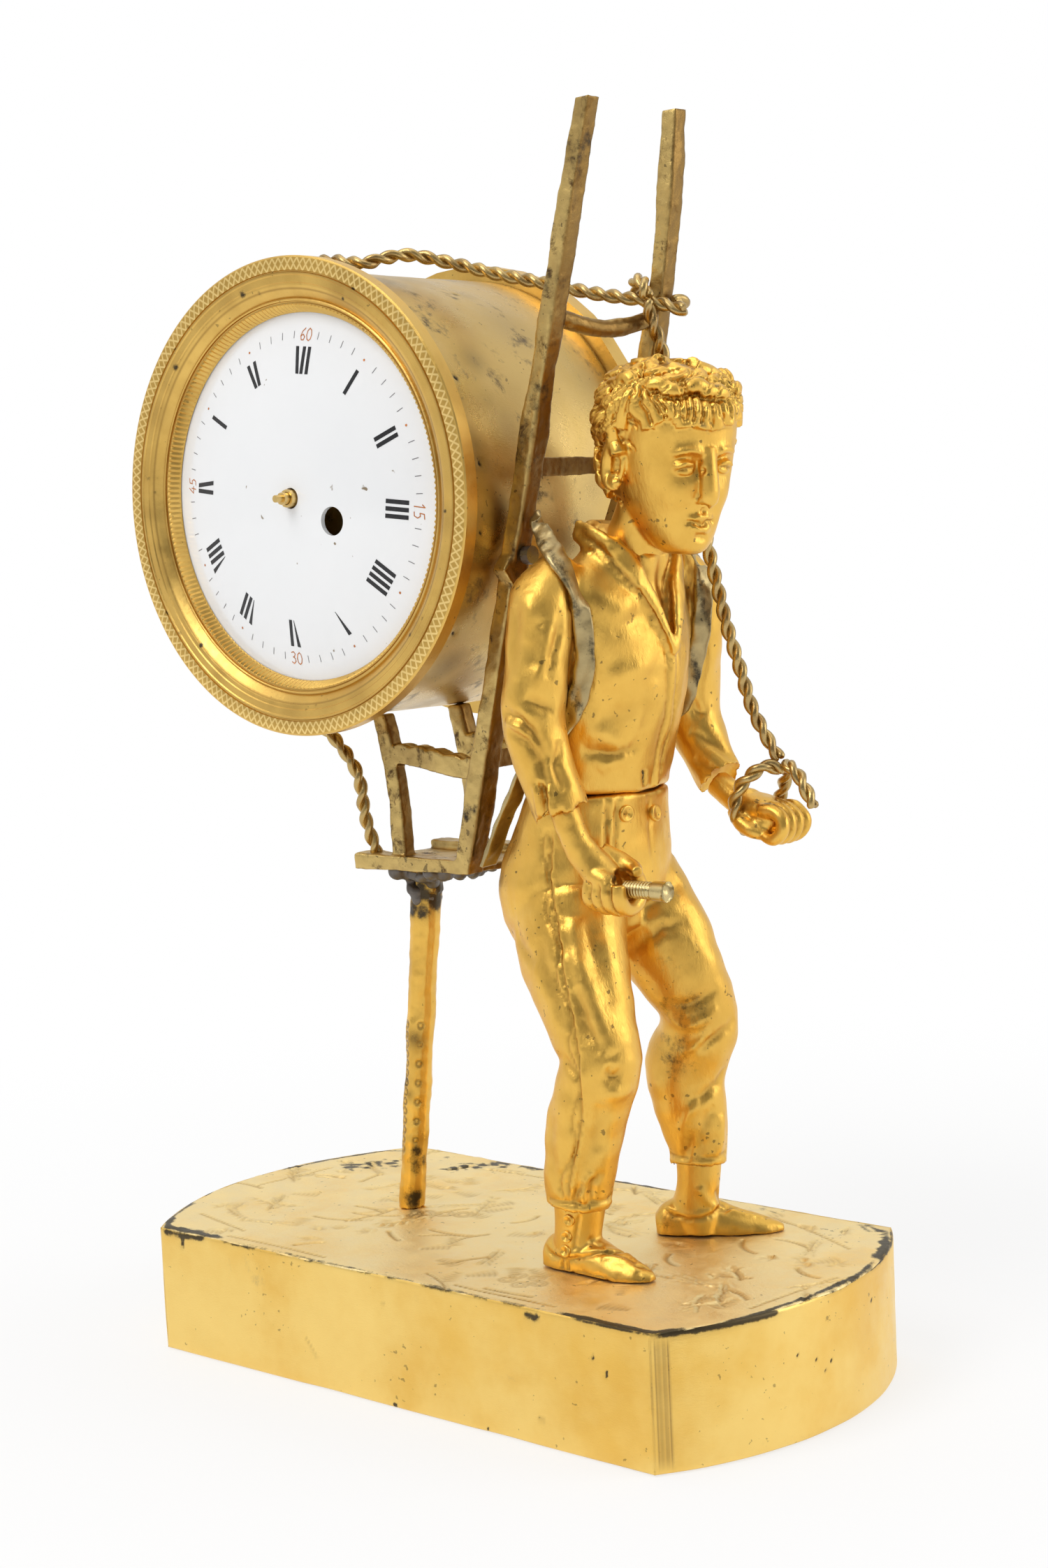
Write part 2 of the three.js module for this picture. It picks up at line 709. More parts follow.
// Dial: a domed enamel disc with a centre hole and one winding hole
function buildDial() {
  const rim = dialVisibleRadius + dialSeatWidth - seatGap;
  const domeSteps = 3;
  const face = [];
  const back = [];
  for (let step = 0; step <= domeSteps; step += 1) {
    const share = step / domeSteps;
    const radius = dialVisibleRadius * share;
    const rise = dialDome * (1 - share * share);
    face.push([radius, dialFace - rise]);
    back.unshift([radius, dialFace + dialThickness - rise]);
  }
  face.push([rim, dialFace], [rim, dialFace + dialThickness]);
  const disc = turned([...face, ...back], roundSteps);
  const deep = dialDome + dialThickness + overrun;
  const centre = rodBetween(
    point(0, dialFace - deep, 0), point(0, dialFace + deep, 0), dialCentreHole, 16);
  const wind = rodBetween(
    point(windOffsetX, dialFace - deep, windOffsetZ),
    point(windOffsetX, dialFace + deep, windOffsetZ), dialWindHole, 16);
  addPiece('enamel_dial', inDrum(cut(disc, centre, wind)), 'enamel');
}

// Toothed wheel outline: wheels carry pointed teeth that meet at the root, pinions carry
// thinner flat-topped leaves, so every pair runs with play
const addendumShare = 0.85;
const dedendumShare = 1.2;
const toothRootShare = 0.62;
const toothTipShare = 0.2;
const pointShare = 0.03;
const fewestWheelTeeth = 20;

function gearShape(teeth, module, turn = 0) {
  const pitchRadius = (teeth * module) / 2;
  const root = pitchRadius - dedendumShare * module;
  const tip = pitchRadius + addendumShare * module;
  const step = (Math.PI * 2) / teeth;
  const pointed = teeth > fewestWheelTeeth;
  const corners = [];
  for (let tooth = 0; tooth < teeth; tooth += 1) {
    const middle = turn + tooth * step;
    const places = pointed
      ? [[root, -1], [tip, -pointShare], [tip, pointShare]]
      : [[root, -toothRootShare], [tip, -toothTipShare], [tip, toothTipShare], [root, toothRootShare]];
    for (const [radius, share] of places) {
      const angle = middle + (share * step) / 2;
      corners.push(new THREE.Vector2(radius * Math.cos(angle), radius * Math.sin(angle)));
    }
  }
  return new THREE.Shape(corners);
}

function gearAt(teeth, module, place, front, rear, turn) {
  return plateAlongY(gearShape(teeth, module, turn), front, rear).translate(place.x, 0, place.z);
}

function pairDistance(pair) {
  return ((pair.wheel + pair.pinion) * pair.module) / 2 + meshEase;
}

// Turn that puts a gap of the second gear opposite a tooth of the first, along the line of centres
function meshTurn(from, to, firstTeeth, firstTurn, secondTeeth) {
  const toward = Math.atan2(to.z - from.z, to.x - from.x);
  const firstPhase = ((toward - firstTurn) * firstTeeth) / (Math.PI * 2);
  const back = toward + Math.PI;
  const secondStep = (Math.PI * 2) / secondTeeth;
  return back + (firstPhase - Math.floor(firstPhase)) * secondStep + secondStep / 2;
}

const centreSpot = { x: 0, z: 0 };
const windSpot = { x: windOffsetX, z: windOffsetZ };
const thirdAngle = (5 / 6) * Math.PI;
const thirdSpot = {
  x: pairDistance(centrePair) * Math.cos(thirdAngle),
  z: pairDistance(centrePair) * Math.sin(thirdAngle),
};
const fourthAngle = (5 / 12) * Math.PI;
const thirdToFourth = pairDistance(thirdPair) + thirdPair.module * addendumShare * 2 + seatGap;
const fourthSpot = {
  x: thirdSpot.x + thirdToFourth * Math.cos(fourthAngle),
  z: thirdSpot.z + thirdToFourth * Math.sin(fourthAngle),
};
const escapeSpot = {
  x: 0,
  z: fourthSpot.z + Math.sqrt(pairDistance(fourthPair) ** 2 - fourthSpot.x ** 2),
};
const palletSpot = { x: 0, z: escapeSpot.z + palletRise };
const clickAngle = -Math.PI / 6;
const clickReach = ratchetRadius + seatGap * 2;
const clickSpot = {
  x: windSpot.x + clickReach * Math.cos(clickAngle) + clickLength * Math.cos(clickAngle + Math.PI / 2),
  z: windSpot.z + clickReach * Math.sin(clickAngle) + clickLength * Math.sin(clickAngle + Math.PI / 2),
};
const minuteAngle = (7 / 6) * Math.PI;
const minuteSpot = {
  x: pairDistance(cannonPair) * Math.cos(minuteAngle),
  z: pairDistance(cannonPair) * Math.sin(minuteAngle),
};

function arborAt(place, front, rear, radius) {
  return rodBetween(point(place.x, front, place.z), point(place.x, rear, place.z), radius, 12);
}

// A bore whose flats, not its corners, keep the stated radius
const boreSides = 12;

function boreAt(place, radius) {
  const front = drumFront - overrun;
  const rear = drumRear + overrun;
  const corner = radius / Math.cos(Math.PI / boreSides);
  return rodBetween(point(place.x, front, place.z), point(place.x, rear, place.z), corner, boreSides);
}

function buildPlates() {
  const bodyInner = drumBodyRadius - drumWall - seatGap;
  const dialPlate = plateAlongY(roundShape(dialPlateRadius, 40), dialPlateFront, dialPlateBack);
  const dialFeet = [];
  for (let foot = 0; foot < dialPillarCount; foot += 1) {
    const angle = Math.PI / 2 + (foot / dialPillarCount) * Math.PI * 2;
    const place = { x: pillarCircle * Math.cos(angle), z: pillarCircle * Math.sin(angle) };
    dialFeet.push(arborAt(place, dialPlateFront + dialPlateThickness / 2, frontPlateFront - seatGap, dialPillarRadius));
  }
  addPiece('dial_plate', inDrum(cut(
    join(dialPlate, ...dialFeet),
    boreAt(centreSpot, hourPipeRadius + runningGap),
    boreAt(windSpot, windingSquare / 2 + runningGap * 3))), 'brass');

  const pivots = [centreSpot, windSpot, thirdSpot, fourthSpot, escapeSpot, palletSpot];
  const pivotHoles = pivots.map((place) => boreAt(place, arborRadius + pivotGap));
  const windHole = boreAt(windSpot, windingSquare / 2 + pivotGap);
  const clickHole = boreAt(clickSpot, arborRadius + pivotGap);
  const frontPlate = plateAlongY(roundShape(plateRadius, 40), frontPlateFront, frontPlateBack);
  const minuteStud = arborAt(minuteSpot, minutePinionFront, frontPlateFront + plateThickness / 2, arborRadius);
  addPiece('front_plate', inDrum(cut(join(frontPlate, minuteStud), ...pivotHoles, windHole, clickHole)), 'brass');
  const backPlate = plateAlongY(roundShape(plateRadius, 40), backPlateFront, backPlateBack);
  const pillars = [];
  for (let pillar = 0; pillar < pillarCount; pillar += 1) {
    const angle = Math.PI / 4 + (pillar / pillarCount) * Math.PI * 2;
    const x = pillarCircle * Math.cos(angle);
    const z = pillarCircle * Math.sin(angle);
    const front = frontPlateBack + seatGap;
    const rear = backPlateFront + plateThickness / 2;
    const waist = pillarRadius * (3 / 4);
    const shape = new THREE.LatheGeometry([
      new THREE.Vector2(0, front),
      new THREE.Vector2(pillarRadius, front),
      new THREE.Vector2(waist, front + pillarRadius * 2),
      new THREE.Vector2(waist, rear - pillarRadius * 2),
      new THREE.Vector2(pillarRadius, rear),
      new THREE.Vector2(0, rear),
    ], 8);
    pillars.push(shape.translate(x, 0, z));
  }
  addPiece('back_plate', inDrum(cut(join(backPlate, ...pillars), ...pivotHoles)), 'brass');

  // Two straps tie the dial plate to the rear ring, as in a round case without a seat board
  for (const [name, side] of [['case_strap_upper', 1], ['case_strap_lower', -1]]) {
    const outer = bodyInner - strapThickness;
    const low = Math.min(side * outer, side * (outer - strapThickness));
    const high = Math.max(side * outer, side * (outer - strapThickness));
    const strap = box(
      point(-strapWidth / 2, dialPlateBack + seatGap, low),
      point(strapWidth / 2, ringFront - seatGap, high));
    const tongueLow = Math.min(side * outer, side * (dialPlateRadius - strapWidth));
    const tongueHigh = Math.max(side * outer, side * (dialPlateRadius - strapWidth));
    const tongue = box(
      point(-strapWidth / 2, dialPlateBack + seatGap, tongueLow),
      point(strapWidth / 2, dialPlateBack + seatGap + strapThickness, tongueHigh));
    addPiece(name, inDrum(join(strap, tongue)), 'steel');
  }
}

// Going train, from the mainspring barrel to the escapement
const centreWheelFront = frontPlateBack + runningGap * 3;
const thirdWheelFront = centreWheelFront + pinionLength;
const fourthWheelFront = thirdWheelFront + pinionLength + wheelThickness;
const greatWheelFront = backPlateFront - runningGap * 3 - wheelThickness;
const escapeFront = fourthWheelFront + pinionLength * 3;
const frontPivot = frontPlateFront + runningGap;
const backPivot = backPlateBack - runningGap;

function buildTrain() {
  const greatTurn = 0;
  const great = gearAt(mainPair.wheel, mainPair.module, windSpot,
    greatWheelFront, greatWheelFront + wheelThickness, greatTurn);
  const drum = arborAt(windSpot, greatWheelFront - barrelHeight, greatWheelFront + wheelThickness / 2, barrelRadius);
  const barrelBore = boreAt(windSpot, windingSquare / 2 + pivotGap);
  addPiece('mainspring_barrel', inDrum(cut(join(great, drum), barrelBore)), 'brass');

  const squareFront = dialFace + windingSquareSunk;
  const square = box(
    point(windSpot.x - windingSquare / 2, squareFront, windSpot.z - windingSquare / 2),
    point(windSpot.x + windingSquare / 2, dialPlateBack, windSpot.z + windingSquare / 2));
  const windArbor = join(
    trimCorners(square, windSpot, windingSquare / 2),
    arborAt(windSpot, dialPlateBack - windingSquareSunk, backPlateFront - runningGap, windingSquare / 2),
    arborAt(windSpot, backPlateFront - runningGap * 2, backPivot, arborRadius));
  const ratchet = plateAlongY(ratchetShape(), dialPlateBack + runningGap * 2,
    dialPlateBack + runningGap * 2 + ratchetThickness).translate(windSpot.x, 0, windSpot.z);
  addPiece('winding_arbor', inDrum(join(windArbor, ratchet)), 'steel');

  const centrePinionTurn = meshTurn(windSpot, centreSpot, mainPair.wheel, greatTurn, mainPair.pinion);
  const centrePinion = gearAt(mainPair.pinion, mainPair.module, centreSpot,
    greatWheelFront - wheelThickness / 2, greatWheelFront + wheelThickness * (3 / 2), centrePinionTurn);
  const centreWheel = gearAt(centrePair.wheel, centrePair.module, centreSpot,
    centreWheelFront, centreWheelFront + wheelThickness, 0);
  const centreArbor = arborAt(centreSpot, drumFront - handArborProud, backPivot, handArborRadius);
  const cannon = gearAt(cannonPair.pinion, cannonPair.module, centreSpot, cannonFront, frontPlateFront - runningGap, 0);
  const cannonPipe = arborAt(centreSpot, drumFront - cannonProud, cannonFront + wheelThickness, cannonPipeRadius);
  addPiece('centre_wheel', inDrum(join(centreArbor, centrePinion, cannon, cannonPipe, centreWheel)), 'brass');

  const thirdTurn = meshTurn(centreSpot, thirdSpot, centrePair.wheel, 0, centrePair.pinion);
  const thirdPinion = gearAt(centrePair.pinion, centrePair.module, thirdSpot,
    centreWheelFront - runningGap, centreWheelFront + pinionLength / 2, thirdTurn);
  const thirdWheel = gearAt(thirdPair.wheel, thirdPair.module, thirdSpot,
    thirdWheelFront, thirdWheelFront + wheelThickness, 0);
  const thirdArbor = arborAt(thirdSpot, frontPivot, backPivot, arborRadius);
  addPiece('third_wheel', inDrum(join(thirdArbor, thirdPinion, thirdWheel)), 'brass');

  const fourthPinion = gearAt(thirdPair.pinion, thirdPair.module, fourthSpot,
    thirdWheelFront - runningGap, thirdWheelFront + pinionLength / 2, 0);
  const fourthWheel = gearAt(fourthPair.wheel, fourthPair.module, fourthSpot,
    fourthWheelFront, fourthWheelFront + wheelThickness, 0);
  const fourthArbor = arborAt(fourthSpot, frontPivot, backPivot, arborRadius);
  addPiece('fourth_wheel', inDrum(join(fourthArbor, fourthPinion, fourthWheel)), 'brass');

  const escapeTurn = meshTurn(fourthSpot, escapeSpot, fourthPair.wheel, 0, fourthPair.pinion);
  const escapePinion = gearAt(fourthPair.pinion, fourthPair.module, escapeSpot,
    fourthWheelFront - runningGap, fourthWheelFront + pinionLength / 2, escapeTurn);
  const escapeWheel = plateAlongY(escapeShape(), escapeFront, escapeFront + wheelThickness)
    .translate(escapeSpot.x, 0, escapeSpot.z);
  addPiece('escape_wheel', inDrum(join(
    arborAt(escapeSpot, frontPivot, backPivot, arborRadius), escapePinion, escapeWheel)), 'steel');
}

function trimCorners(geometry, place, half) {
  const chamfer = half * (6 / 5);
  const diagonals = [[1, 1], [1, -1], [-1, 1], [-1, -1]];
  return diagonals.reduce((solid, [x, z]) => {
    const inward = point(-x, 0, -z);
    const edge = point(place.x + x * chamfer * Math.SQRT1_2 * (5 / 4), 0, place.z + z * chamfer * Math.SQRT1_2 * (5 / 4));
    return trim(solid, inward, edge);
  }, geometry);
}

// Saw teeth of the ratchet, each with one radial flank
function ratchetShape() {
  const corners = [];
  for (let tooth = 0; tooth < ratchetTeeth; tooth += 1) {
    const start = (tooth / ratchetTeeth) * Math.PI * 2;
    const root = ratchetRadius * (7 / 8);
    corners.push(new THREE.Vector2(ratchetRadius * Math.cos(start), ratchetRadius * Math.sin(start)));
    corners.push(new THREE.Vector2(root * Math.cos(start), root * Math.sin(start)));
  }
  return new THREE.Shape(corners.reverse());
}

// Pointed, forward-leaning teeth of the escape wheel
function escapeShape() {
  const corners = [];
  const rootShare = 0.68;
  const leanShare = 0.25;
  const backShare = 0.8;
  for (let tooth = 0; tooth < escapeTeeth; tooth += 1) {
    const step = (Math.PI * 2) / escapeTeeth;
    const start = tooth * step;
    const places = [[escapeRadius, 0], [escapeRadius * rootShare, leanShare], [escapeRadius * rootShare, backShare]];
    for (const [radius, share] of places) {
      const angle = start + share * step;
      corners.push(new THREE.Vector2(radius * Math.cos(angle), radius * Math.sin(angle)));
    }
  }
  return new THREE.Shape(corners);
}

// Click that holds the ratchet; its stud turns in the front plate
function buildClick() {
  const studSpot = clickSpot;
  const tip = {
    x: windSpot.x + clickReach * Math.cos(clickAngle),
    z: windSpot.z + clickReach * Math.sin(clickAngle),
  };
  const front = dialPlateBack + runningGap * 2;
  const outward = new THREE.Vector2(Math.cos(clickAngle), Math.sin(clickAngle));
  const boss = new THREE.Vector2(studSpot.x, studSpot.z);
  const beak = new THREE.Vector2(tip.x, tip.z);
  const width = ratchetThickness;
  const shape = new THREE.Shape([
    beak,
    beak.clone().addScaledVector(outward, width),
    boss.clone().addScaledVector(outward, width * (3 / 2)),
    boss.clone().addScaledVector(outward, -width / 4),
  ]);
  const stud = arborAt(studSpot, front, frontPlateBack - runningGap, arborRadius);
  addPiece('ratchet_click', inDrum(join(plateAlongY(shape, front, front + ratchetThickness), stud)), 'steel');
}

// Motion work: cannon pinion, minute wheel with its pinion, and hour wheel with its pipe
const hourWheelFront = dialPlateBack + runningGap;
const minutePinionFront = hourWheelFront - runningGap / 3;
const cannonFront = hourWheelFront + wheelThickness + runningGap * 2;

function buildMotionWork() {
  const minuteTurn = meshTurn(centreSpot, minuteSpot, cannonPair.pinion, 0, cannonPair.wheel);
  const wheelRear = frontPlateFront - runningGap * 2;
  const minuteWheel = gearAt(cannonPair.wheel, cannonPair.module, minuteSpot,
    cannonFront + runningGap, wheelRear, minuteTurn);
  const minutePinion = gearAt(hourPair.pinion, hourPair.module, minuteSpot,
    minutePinionFront, cannonFront + wheelThickness, 0);
  const stud = boreAt(minuteSpot, arborRadius + pivotGap);
  addPiece('minute_wheel', inDrum(cut(join(minuteWheel, minutePinion), stud)), 'brass');

  const hourTurn = meshTurn(minuteSpot, centreSpot, hourPair.pinion, 0, hourPair.wheel);
  const hourWheel = gearAt(hourPair.wheel, hourPair.module, centreSpot,
    hourWheelFront, hourWheelFront + wheelThickness, hourTurn);
  const pipe = arborAt(centreSpot, drumFront - hourProud, hourWheelFront + wheelThickness / 2, hourPipeRadius);
  addPiece('hour_wheel', inDrum(cut(join(hourWheel, pipe), boreAt(centreSpot, hourPipeInner))), 'brass');
}

// Pallets on their arbor, with the short pendulum fixed behind the back plate
const pendulumFront = backPlateBack + runningGap * 3;

function buildPendulum() {
  const depth = palletRise - escapeRadius - palletGap;
  const half = palletSpan;
  const drop = palletRise - Math.sqrt((escapeRadius + palletGap) ** 2 - half ** 2);
  const anchor = new THREE.Shape([
    new THREE.Vector2(-half - wheelThickness, -drop),
    new THREE.Vector2(-half, -drop),
    new THREE.Vector2(-half * (2 / 3), -depth * (2 / 3)),
    new THREE.Vector2(half * (2 / 3), -depth * (2 / 3)),
    new THREE.Vector2(half, -drop),
    new THREE.Vector2(half + wheelThickness, -drop),
    new THREE.Vector2(half, arborRadius * 2),
    new THREE.Vector2(-half, arborRadius * 2),
  ]);
  const pallets = plateAlongY(anchor, escapeFront, escapeFront + wheelThickness)
    .translate(palletSpot.x, 0, palletSpot.z);
  const arbor = arborAt(palletSpot, frontPivot, pendulumFront + cockReach - runningGap * 3, arborRadius);
  const rodTop = palletSpot.z;
  const rodLow = palletSpot.z - pendulumLength;
  const rod = box(
    point(-pendulumRodWidth / 2, pendulumFront, rodLow),
    point(pendulumRodWidth / 2, pendulumFront + pendulumRodThickness, rodTop));
  const hub = arborAt(palletSpot, pendulumFront, pendulumFront + pendulumRodThickness * 2, arborRadius * 2);
  addPiece('pallets_and_pendulum_rod', inDrum(join(pallets, arbor, rod, hub)), 'steel');

  const bob = new THREE.LatheGeometry([
    new THREE.Vector2(0, 0),
    new THREE.Vector2(bobRadius * (3 / 4), bobThickness / 6),
    new THREE.Vector2(bobRadius, bobThickness / 2),
    new THREE.Vector2(bobRadius * (3 / 4), bobThickness * (5 / 6)),
    new THREE.Vector2(0, bobThickness),
  ], 18);
  const bobFront = pendulumFront + pendulumRodThickness + seatGap;
  addPiece('pendulum_bob', inDrum(bob.translate(0, bobFront, rodLow + bobRadius / 2)), 'brass');

  // Bridge on the back plate that carries the pallet arbor's rear pivot
  const cockWidth = arborRadius * 6;
  const footY = backPlateBack + seatGap;
  const bridgeFront = pendulumFront + cockReach - cockWidth / 3;
  const bridge = box(
    point(-cockWidth * 2, bridgeFront, palletSpot.z - cockWidth / 2),
    point(cockWidth * 2, bridgeFront + plateThickness, palletSpot.z + cockWidth / 2));
  const legs = [-1, 1].map((side) => box(
    point(Math.min(side * cockWidth, side * cockWidth * 2), footY, palletSpot.z - cockWidth / 2),
    point(Math.max(side * cockWidth, side * cockWidth * 2), bridgeFront + plateThickness / 2,
      palletSpot.z + cockWidth / 2)));
  addPiece('back_cock', inDrum(cut(join(bridge, ...legs), boreAt(palletSpot, arborRadius + pivotGap))), 'brass');
}

// Figure: every table holds shares of the figure's height, from the spot between its feet.
// The rows are [forward, to the left, up, half depth, half width].
const torsoShares = [
  [-0.054, 0, 0.510, 0.070, 0.089],
  [-0.049, 0, 0.541, 0.069, 0.088],
  [-0.034, 0, 0.593, 0.069, 0.088],
  [-0.017, 0, 0.664, 0.073, 0.093],
  [-0.014, 0, 0.716, 0.067, 0.100],
  [-0.008, 0, 0.756, 0.057, 0.100],
  [0.000, 0, 0.780, 0.047, 0.080],
  [0.009, 0, 0.797, 0.043, 0.056],
  [0.017, 0, 0.812, 0.038, 0.042],
];
const pelvisShares = [
  [-0.050, 0, 0.556, 0.067, 0.087],
  [-0.053, 0, 0.530, 0.070, 0.090],
  [-0.062, 0, 0.484, 0.082, 0.097],
  [-0.077, 0, 0.422, 0.095, 0.105],
  [-0.069, 0, 0.380, 0.085, 0.098],
  [-0.052, 0, 0.350, 0.055, 0.074],
];
const rightLegShares = [
  [-0.066, -0.050, 0.410, 0.073, 0.056],
  [-0.051, -0.061, 0.361, 0.068, 0.057],
  [-0.028, -0.071, 0.313, 0.059, 0.052],
  [-0.007, -0.081, 0.271, 0.051, 0.045],
  [0.004, -0.085, 0.245, 0.049, 0.042],
  [-0.007, -0.088, 0.204, 0.046, 0.041],
  [-0.020, -0.090, 0.162, 0.047, 0.042],
  [-0.027, -0.091, 0.119, 0.041, 0.038],
  [-0.032, -0.091, 0.074, 0.038, 0.035],
];
const leftLegShares = [
  [-0.057, 0.050, 0.410, 0.072, 0.054],
  [-0.026, 0.062, 0.361, 0.063, 0.053],
  [-0.002, 0.073, 0.313, 0.054, 0.049],
  [0.010, 0.083, 0.275, 0.048, 0.044],
  [0.006, 0.086, 0.242, 0.046, 0.042],
  [-0.012, 0.088, 0.200, 0.049, 0.043],
  [-0.010, 0.090, 0.152, 0.045, 0.040],
  [-0.003, 0.092, 0.109, 0.036, 0.033],
  [-0.002, 0.092, 0.084, 0.034, 0.031],
];
const rightArmShares = [
  [-0.030, -0.080, 0.775, 0.030, 0.030],
  [-0.026, -0.104, 0.765, 0.035, 0.030],
  [-0.024, -0.117, 0.746, 0.037, 0.034],
  [-0.024, -0.123, 0.716, 0.037, 0.034],
  [-0.027, -0.129, 0.669, 0.037, 0.034],
  [-0.030, -0.133, 0.621, 0.035, 0.033],
  [-0.025, -0.131, 0.593, 0.034, 0.032],
  [-0.014, -0.127, 0.555, 0.032, 0.030],
  [-0.002, -0.121, 0.513, 0.033, 0.030],
];
const leftArmShares = [
  [-0.004, 0.080, 0.772, 0.030, 0.030],
  [0.000, 0.105, 0.764, 0.034, 0.030],
  [0.001, 0.118, 0.742, 0.036, 0.033],
  [-0.002, 0.123, 0.707, 0.036, 0.033],
  [-0.009, 0.128, 0.655, 0.035, 0.032],
  [-0.013, 0.130, 0.607, 0.033, 0.032],
  [-0.002, 0.129, 0.579, 0.032, 0.030],
  [0.017, 0.127, 0.548, 0.029, 0.028],
  [0.034, 0.124, 0.526, 0.030, 0.028],
];
const rightHandShares = [
  [-0.002, -0.121, 0.521, 0.017, 0.016],
  [0.010, -0.114, 0.484, 0.021, 0.016],
  [0.024, -0.104, 0.458, 0.026, 0.020],
  [0.040, -0.098, 0.443, 0.025, 0.021],
  [0.052, -0.095, 0.437, 0.017, 0.016],
];
const leftHandShares = [
  [0.034, 0.123, 0.523, 0.016, 0.017],
  [0.062, 0.123, 0.508, 0.017, 0.021],
  [0.088, 0.123, 0.499, 0.017, 0.027],
  [0.113, 0.123, 0.494, 0.017, 0.026],
  [0.132, 0.123, 0.489, 0.013, 0.016],
];
const neckShares = [
  [0.012, 0, 0.800, 0.036, 0.036],
  [0.026, 0, 0.830, 0.032, 0.034],
  [0.042, 0, 0.860, 0.033, 0.034],
  [0.054, 0, 0.890, 0.036, 0.036],
];
// Ankles in their gaiters, and the feet as rows of [along the foot, half width, height]
const rightAnkleShares = [
  [-0.032, -0.091, 0.0695, 0.031, 0.028],
  [-0.035, -0.091, 0.048, 0.028, 0.024],
  [-0.037, -0.091, 0.024, 0.030, 0.024],
  [-0.037, -0.091, 0.004, 0.031, 0.023],
];
const leftAnkleShares = [
  [-0.002, 0.092, 0.0795, 0.027, 0.025],
  [-0.004, 0.091, 0.056, 0.026, 0.023],
  [-0.007, 0.090, 0.028, 0.030, 0.024],
  [-0.008, 0.090, 0.004, 0.031, 0.023],
];
const footShares = [
  [-0.047, 0.012, 0.024],
  [-0.036, 0.020, 0.036],
  [-0.008, 0.023, 0.046],
  [0.020, 0.023, 0.041],
  [0.045, 0.024, 0.030],
  [0.070, 0.021, 0.021],
  [0.092, 0.014, 0.015],
  [0.103, 0.006, 0.009],
];
// Head sections about the head's own middle, in shares of the head's height:
// [up, forward, half depth, half width]
const headHeight = 41.8;
const headTilt = 0.25;
const headTurn = -0.24;
const headPlaceShares = [0.071, 0, 0.9015];
const skullShares = [
  [-0.50, 0.25, 0.05, 0.06],
  [-0.475, 0.24, 0.11, 0.12],
  [-0.41, 0.20, 0.19, 0.185],
  [-0.30, 0.13, 0.27, 0.235],
  [-0.15, 0.055, 0.345, 0.280],
  [0.00, 0.01, 0.385, 0.305],
  [0.16, -0.02, 0.40, 0.325],
  [0.30, -0.035, 0.375, 0.310],
  [0.42, -0.045, 0.27, 0.24],
  [0.48, -0.05, 0.12, 0.11],
];
const hairShares = [
  [-0.28, -0.17, 0.14, 0.20],
  [-0.18, -0.15, 0.23, 0.27],
  [-0.05, -0.12, 0.28, 0.325],
  [0.08, -0.09, 0.335, 0.345],
  [0.20, -0.035, 0.405, 0.352],
  [0.32, -0.03, 0.395, 0.335],
  [0.43, -0.045, 0.30, 0.27],
  [0.50, -0.05, 0.14, 0.13],
];
const noseShares = [
  [0.05, 0.385, 0.03, 0.03],
  [-0.07, 0.420, 0.045, 0.040],
  [-0.16, 0.425, 0.065, 0.060],
  [-0.20, 0.385, 0.045, 0.045],
];
const earShares = [
  [0.06, -0.02, 0.02, 0.02],
  [0.02, -0.03, 0.06, 0.05],
  [-0.07, -0.02, 0.055, 0.045],
  [-0.14, 0.00, 0.02, 0.02],
];
const earSideShare = 0.335;
const figureSides = 13;
const bodySides = 16;

function figureLimb(shares, sides = figureSides) {
  const sections = shares.map(([x, y, z, depth, width]) => [
    ...figurePlace(x, y, z), depth * figureHeight, width * figureHeight]);
  return limb(sections, sides, point(0, 1, 0));
}

function headRing([up, forward, depth, width], sides, side = 0) {
  return ring(point(forward * headHeight, side * headHeight, up * headHeight),
    point(1, 0, 0), point(0, 1, 0), depth * headHeight, width * headHeight, sides);
}

function headShape(shares, sides, side = 0) {
  return skin(shares.map((share) => headRing(share, sides, side)));
}

function placeHead(geometry) {
  const [x, y, z] = figurePlace(...headPlaceShares);
  return geometry.rotateY(headTilt).rotateZ(headTurn).translate(x, y, z);
}

// A hand starts a seat's gap below the plane that ends its sleeve
function handBelow(armShares, handShares) {
  const [before, last] = armShares.slice(-2).map((share) => point(...figurePlace(...share)));
  const along = last.clone().sub(before).normalize();
  return trim(figureLimb(handShares, 12), along, last.clone().addScaledVector(along, seatGap));
}

// The planes that part the castings: shoulders, neck, waist, hems and cuffs
const shoulderShare = 0.088;
const neckShare = 0.8155;
const waistShare = 0.5335;

